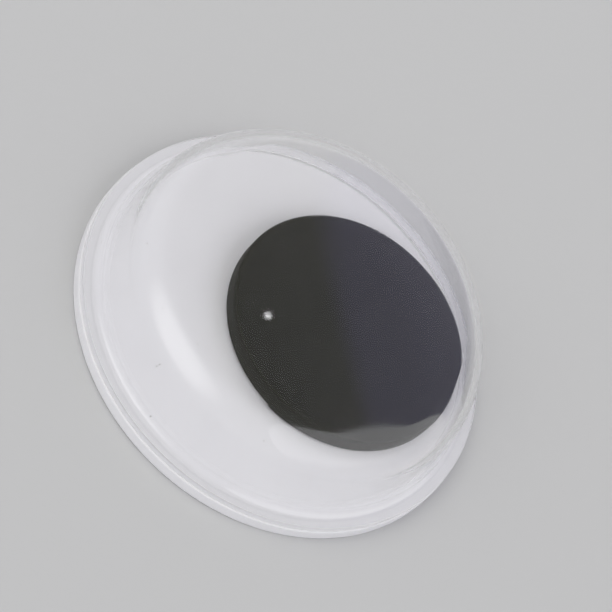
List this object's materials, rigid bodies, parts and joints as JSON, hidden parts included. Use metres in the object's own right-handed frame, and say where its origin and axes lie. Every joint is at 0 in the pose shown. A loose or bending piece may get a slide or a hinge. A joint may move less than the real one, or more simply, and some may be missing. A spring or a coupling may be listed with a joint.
{
  "type": "googly eye",
  "caption": "Round craft eye: a clear formed dome sealed over a white back disc, with a loose black pupil disc that rolls inside.",
  "frame": {"origin": "centre of the flat back face, which is the face that is glued down or rests on a table", "axes": "+Z out of the eye's face, through the middle of the dome; +X from the centre towards the pupil's rest place"},
  "size_m": [0.015, 0.015, 0.0047],
  "materials": {
    "white_plastic": "smooth satin white sheet plastic",
    "clear_film": "clear formed film, high gloss",
    "black_plastic": "smooth gloss black plastic"
  },
  "bodies": {
    "eye_shell": {"back_plate": "white_plastic", "clear_dome": "clear_film"},
    "loose_pupil": {"pupil": "black_plastic"}
  },
  "joints": [
    {"name": "pupil_roll", "type": "hinge", "parent": "eye_shell", "child": "loose_pupil", "pos_m": [0, 0, 0.0009], "axis": [0, 0, 1], "continuous": true}
  ]
}
